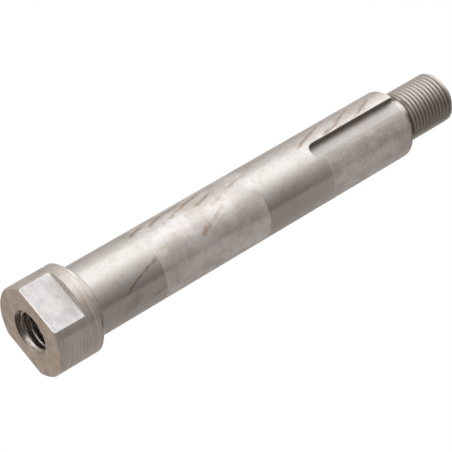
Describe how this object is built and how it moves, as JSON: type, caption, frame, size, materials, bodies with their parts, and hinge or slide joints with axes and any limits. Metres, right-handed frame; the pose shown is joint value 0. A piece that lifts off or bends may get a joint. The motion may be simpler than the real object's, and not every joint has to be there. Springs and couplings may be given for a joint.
{
  "type": "spindle shaft",
  "caption": "Ground steel spindle shaft with a wrench-flatted head, tapped end hole, tapered lip, long bearing journal, open-ended keyway and a threaded stud.",
  "frame": {"origin": "centre of the head's end face, on the shaft's axis", "axes": "+Z along the shaft's axis, from the head towards the threaded stud; +X out of the keyway, square to the wrench flats; the shaft stands on its head"},
  "size_m": [0.0324, 0.0324, 0.1815],
  "materials": {
    "ground_steel": "turned and ground bare steel with fine circumferential marks, milled flats and thin brown stains"
  },
  "bodies": {
    "root": {"shaft": "ground_steel"}
  },
  "joints": []
}
